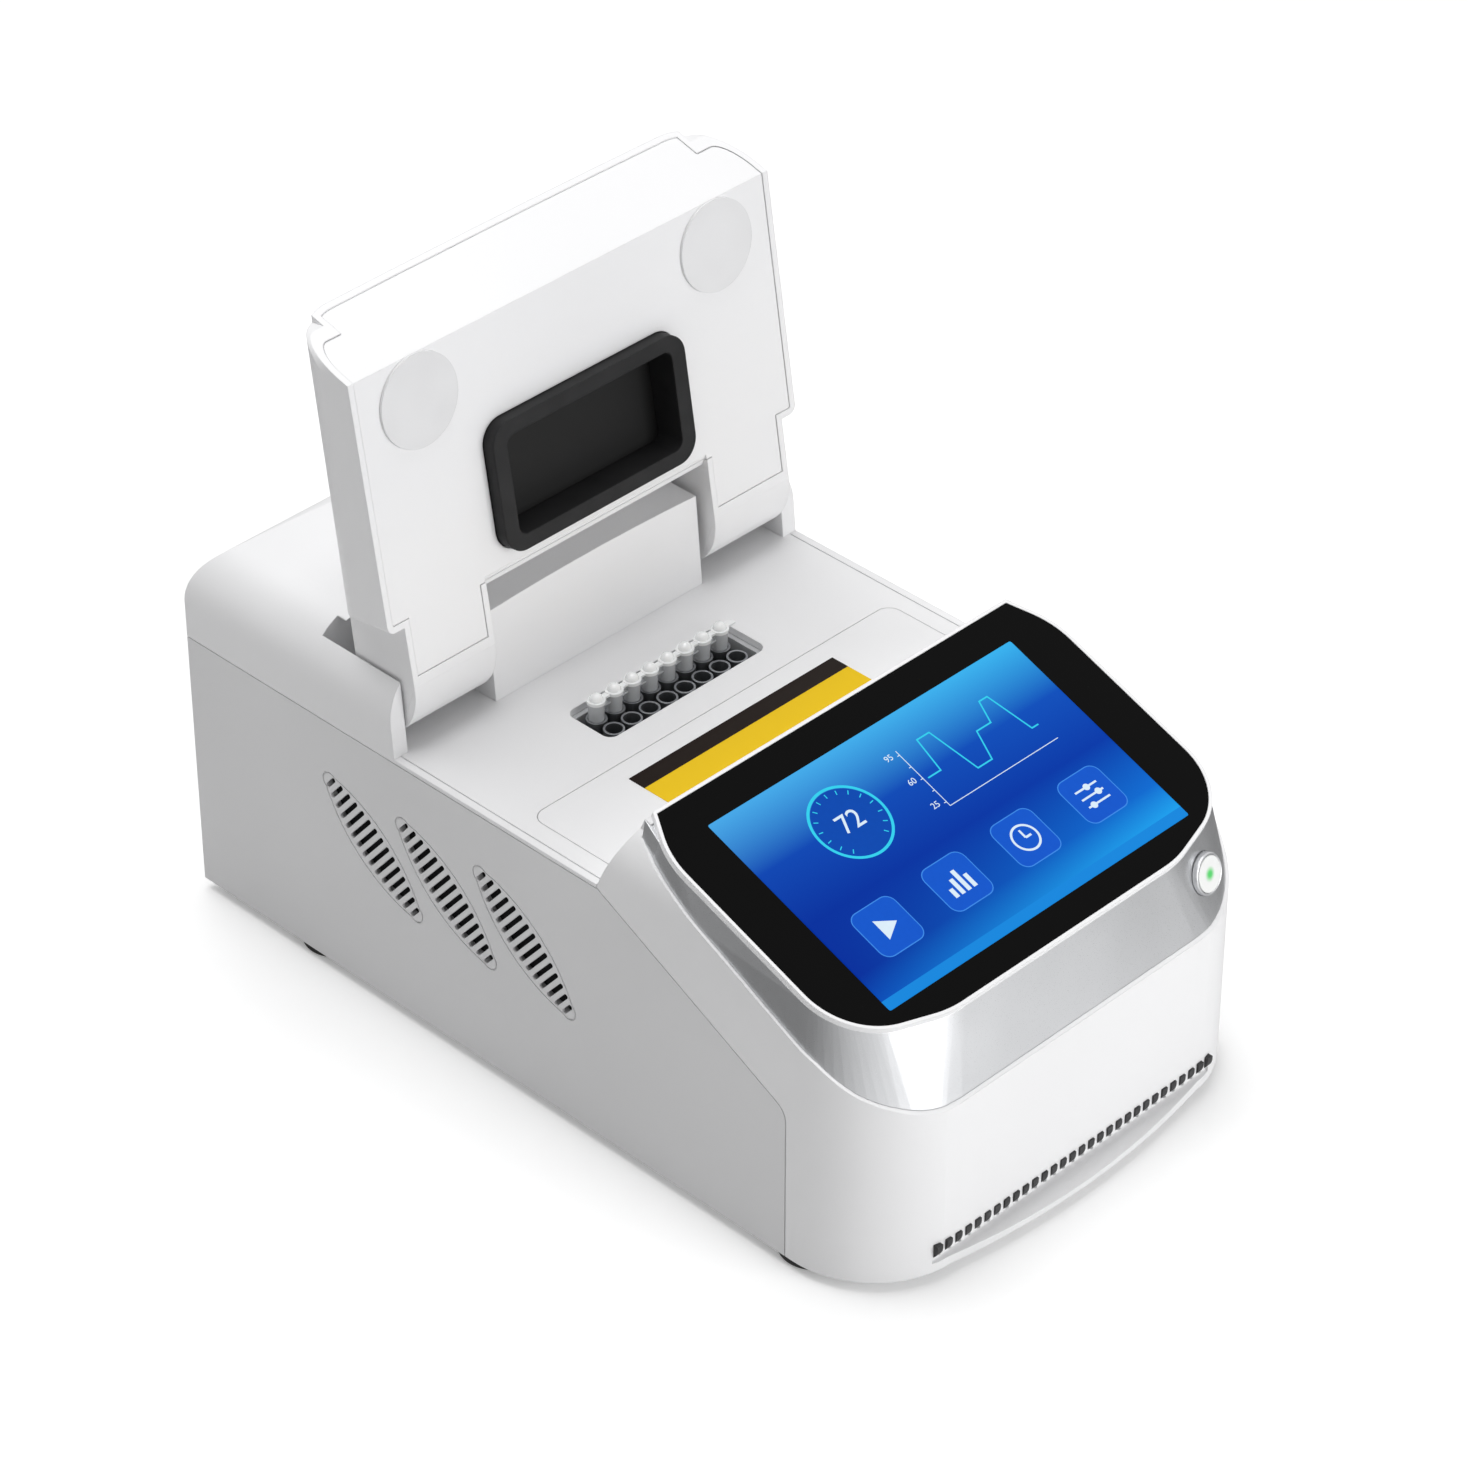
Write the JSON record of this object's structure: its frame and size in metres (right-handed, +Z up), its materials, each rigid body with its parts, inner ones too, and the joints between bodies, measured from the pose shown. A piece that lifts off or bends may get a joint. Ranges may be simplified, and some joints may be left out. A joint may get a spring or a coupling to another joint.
{
  "type": "thermal cycler",
  "caption": "Bench thermal cycler with a sloping touch screen, a small tube block in its deck and a hinged heated lid that stands open.",
  "frame": {"origin": "on the table under the middle of the body, at the foot of the feet", "axes": "+X to the right seen from the front, +Y to the rear, +Z up; the screen is at -Y"},
  "size_m": [0.205, 0.361, 0.2771],
  "materials": {
    "white_plastic": "satin",
    "side_plastic": "satin",
    "silver_paint": "satin",
    "black_glass": "polished",
    "display": "polished",
    "black_plastic": "satin",
    "steel": "satin",
    "aluminium": "satin",
    "rubber": "matte",
    "gasket": "matte",
    "heater": "satin",
    "circuit_board": "satin",
    "ceramic": "matte",
    "label": "satin",
    "pad_plastic": "satin",
    "tube_plastic": "polished"
  },
  "bodies": {
    "base": {"top_cover": "white_plastic", "front_fascia": "white_plastic", "side_panel_left": "side_plastic", "side_panel_right": "side_plastic", "rear_panel": "side_plastic", "base_plate": "steel", "rubber_feet": "rubber", "base_screws": "steel", "front_vent": "black_plastic", "side_filters": "black_plastic", "silver_band": "silver_paint", "screen_rim": "white_plastic", "screen_glass": "black_glass", "lcd_panel": "display", "screen_board": "circuit_board", "button_ring": "silver_paint", "deck_panel": "white_plastic", "label_strip": "label", "block_frame": "black_plastic", "thermal_block": "aluminium", "peltier_modules": "ceramic", "heat_sink": "aluminium", "support_posts": "steel", "main_board": "circuit_board", "board_standoffs": "steel", "power_supply": "steel", "fan_frame": "black_plastic", "fan_grille": "steel", "power_inlet": "black_plastic", "switch_housing": "black_plastic", "usb_ports": "steel", "hinge_brackets": "steel", "hinge_pins": "steel"},
    "lid": {"lid_shell": "white_plastic", "lid_liner": "white_plastic", "lid_barrels": "steel", "lid_pads": "pad_plastic", "press_posts": "steel", "lid_heater_board": "circuit_board"},
    "press": {"press_frame": "gasket", "heater_plate": "heater", "press_springs": "steel"},
    "tubes": {"tube_strip": "tube_plastic", "cap_strip": "tube_plastic"},
    "button": {"power_button": "white_plastic"},
    "fan": {"fan_rotor": "black_plastic"},
    "rocker": {"switch_rocker": "black_plastic"}
  },
  "joints": [
    {"name": "lid_hinge", "type": "hinge", "parent": "base", "child": "lid", "pos_m": [0, 0.0832, 0.1431], "axis": [-1, 0, 0], "range_deg": [-99, 0]},
    {"name": "press_slide", "type": "slide", "parent": "lid", "child": "press", "axis": [0, 0.9877, -0.1564], "range_m": [0, 0.005]},
    {"name": "tube_lift", "type": "slide", "parent": "base", "child": "tubes", "axis": [0, 0, 1], "range_m": [0, 0.035]},
    {"name": "button_press", "type": "slide", "parent": "base", "child": "button", "axis": [-0.1331, 0.947, -0.2924], "range_m": [0, 0.0015], "stiffness_N_per_m": 400, "springref_m": -0.001},
    {"name": "fan_spin", "type": "hinge", "parent": "base", "child": "fan", "pos_m": [-0.042, 0.16, 0.06], "axis": [0, 1, 0], "continuous": true},
    {"name": "switch_tilt", "type": "hinge", "parent": "base", "child": "rocker", "pos_m": [0.062, 0.168, 0.072], "axis": [0, 0, 1], "range_deg": [0, 16]}
  ],
  "couplings": [
    {"joint": "press_slide", "follows": "lid_hinge", "m_per_rad": -0.0028934}
  ]
}
